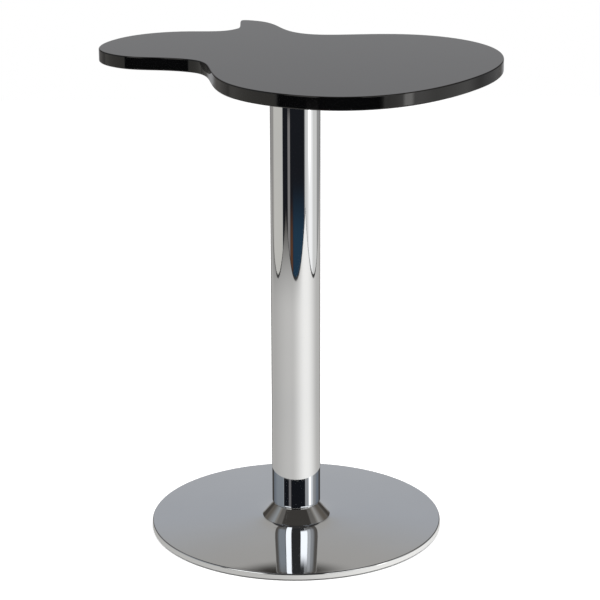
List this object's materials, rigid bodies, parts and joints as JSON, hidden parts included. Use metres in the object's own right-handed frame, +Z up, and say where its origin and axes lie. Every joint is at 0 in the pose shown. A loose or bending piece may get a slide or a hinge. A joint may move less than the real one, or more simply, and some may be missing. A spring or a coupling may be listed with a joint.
{
  "type": "pedestal table",
  "caption": "Pedestal table with a guitar-shaped gloss black top on a chromed tube column, cone collar and round chromed base with levelling glides.",
  "frame": {"origin": "on the floor, on the column's axis, at the middle of the base", "axes": "+Z up; the guitar's length along X with its neck end towards -X; the cutaway and its horn on the +Y side"},
  "size_m": [0.611, 0.493, 0.748],
  "materials": {
    "black_lacquer": "gloss black lacquer on fibreboard, face and edge alike",
    "black_steel": "satin black powder coat",
    "zinc_steel": "bright zinc plate",
    "bare_steel": "turned bare steel",
    "column_chrome": "polished chrome plate on tube",
    "collar_chrome": "polished chrome plate",
    "base_chrome": "polished chrome plate on spun sheet",
    "cast_iron": "as cast, painted dark",
    "black_nylon": "moulded black nylon"
  },
  "bodies": {
    "table": {"top_board": "black_lacquer", "mounting_plate": "black_steel", "mounting_screw_1": "zinc_steel", "mounting_screw_2": "zinc_steel", "mounting_screw_3": "zinc_steel", "mounting_screw_4": "zinc_steel", "mounting_screw_5": "zinc_steel", "mounting_screw_6": "zinc_steel", "column_tube": "column_chrome", "column_hub": "bare_steel", "column_foot_plug": "bare_steel", "tie_rod": "zinc_steel", "tie_rod_top_nut": "zinc_steel", "tie_rod_top_washer": "zinc_steel", "tie_rod_base_nut": "zinc_steel", "tie_rod_base_washer": "zinc_steel", "cone_collar": "collar_chrome", "base_cover": "base_chrome", "base_ballast": "cast_iron"},
    "glide_1": {"levelling_stud_1": "zinc_steel", "levelling_pad_1": "black_nylon"},
    "glide_2": {"levelling_stud_2": "zinc_steel", "levelling_pad_2": "black_nylon"},
    "glide_3": {"levelling_stud_3": "zinc_steel", "levelling_pad_3": "black_nylon"},
    "glide_4": {"levelling_stud_4": "zinc_steel", "levelling_pad_4": "black_nylon"}
  },
  "joints": [
    {"name": "level_1", "type": "slide", "parent": "table", "child": "glide_1", "axis": [0, 0, -1], "range_m": [0, 0.004]},
    {"name": "level_2", "type": "slide", "parent": "table", "child": "glide_2", "axis": [0, 0, -1], "range_m": [0, 0.004]},
    {"name": "level_3", "type": "slide", "parent": "table", "child": "glide_3", "axis": [0, 0, -1], "range_m": [0, 0.004]},
    {"name": "level_4", "type": "slide", "parent": "table", "child": "glide_4", "axis": [0, 0, -1], "range_m": [0, 0.004]}
  ]
}
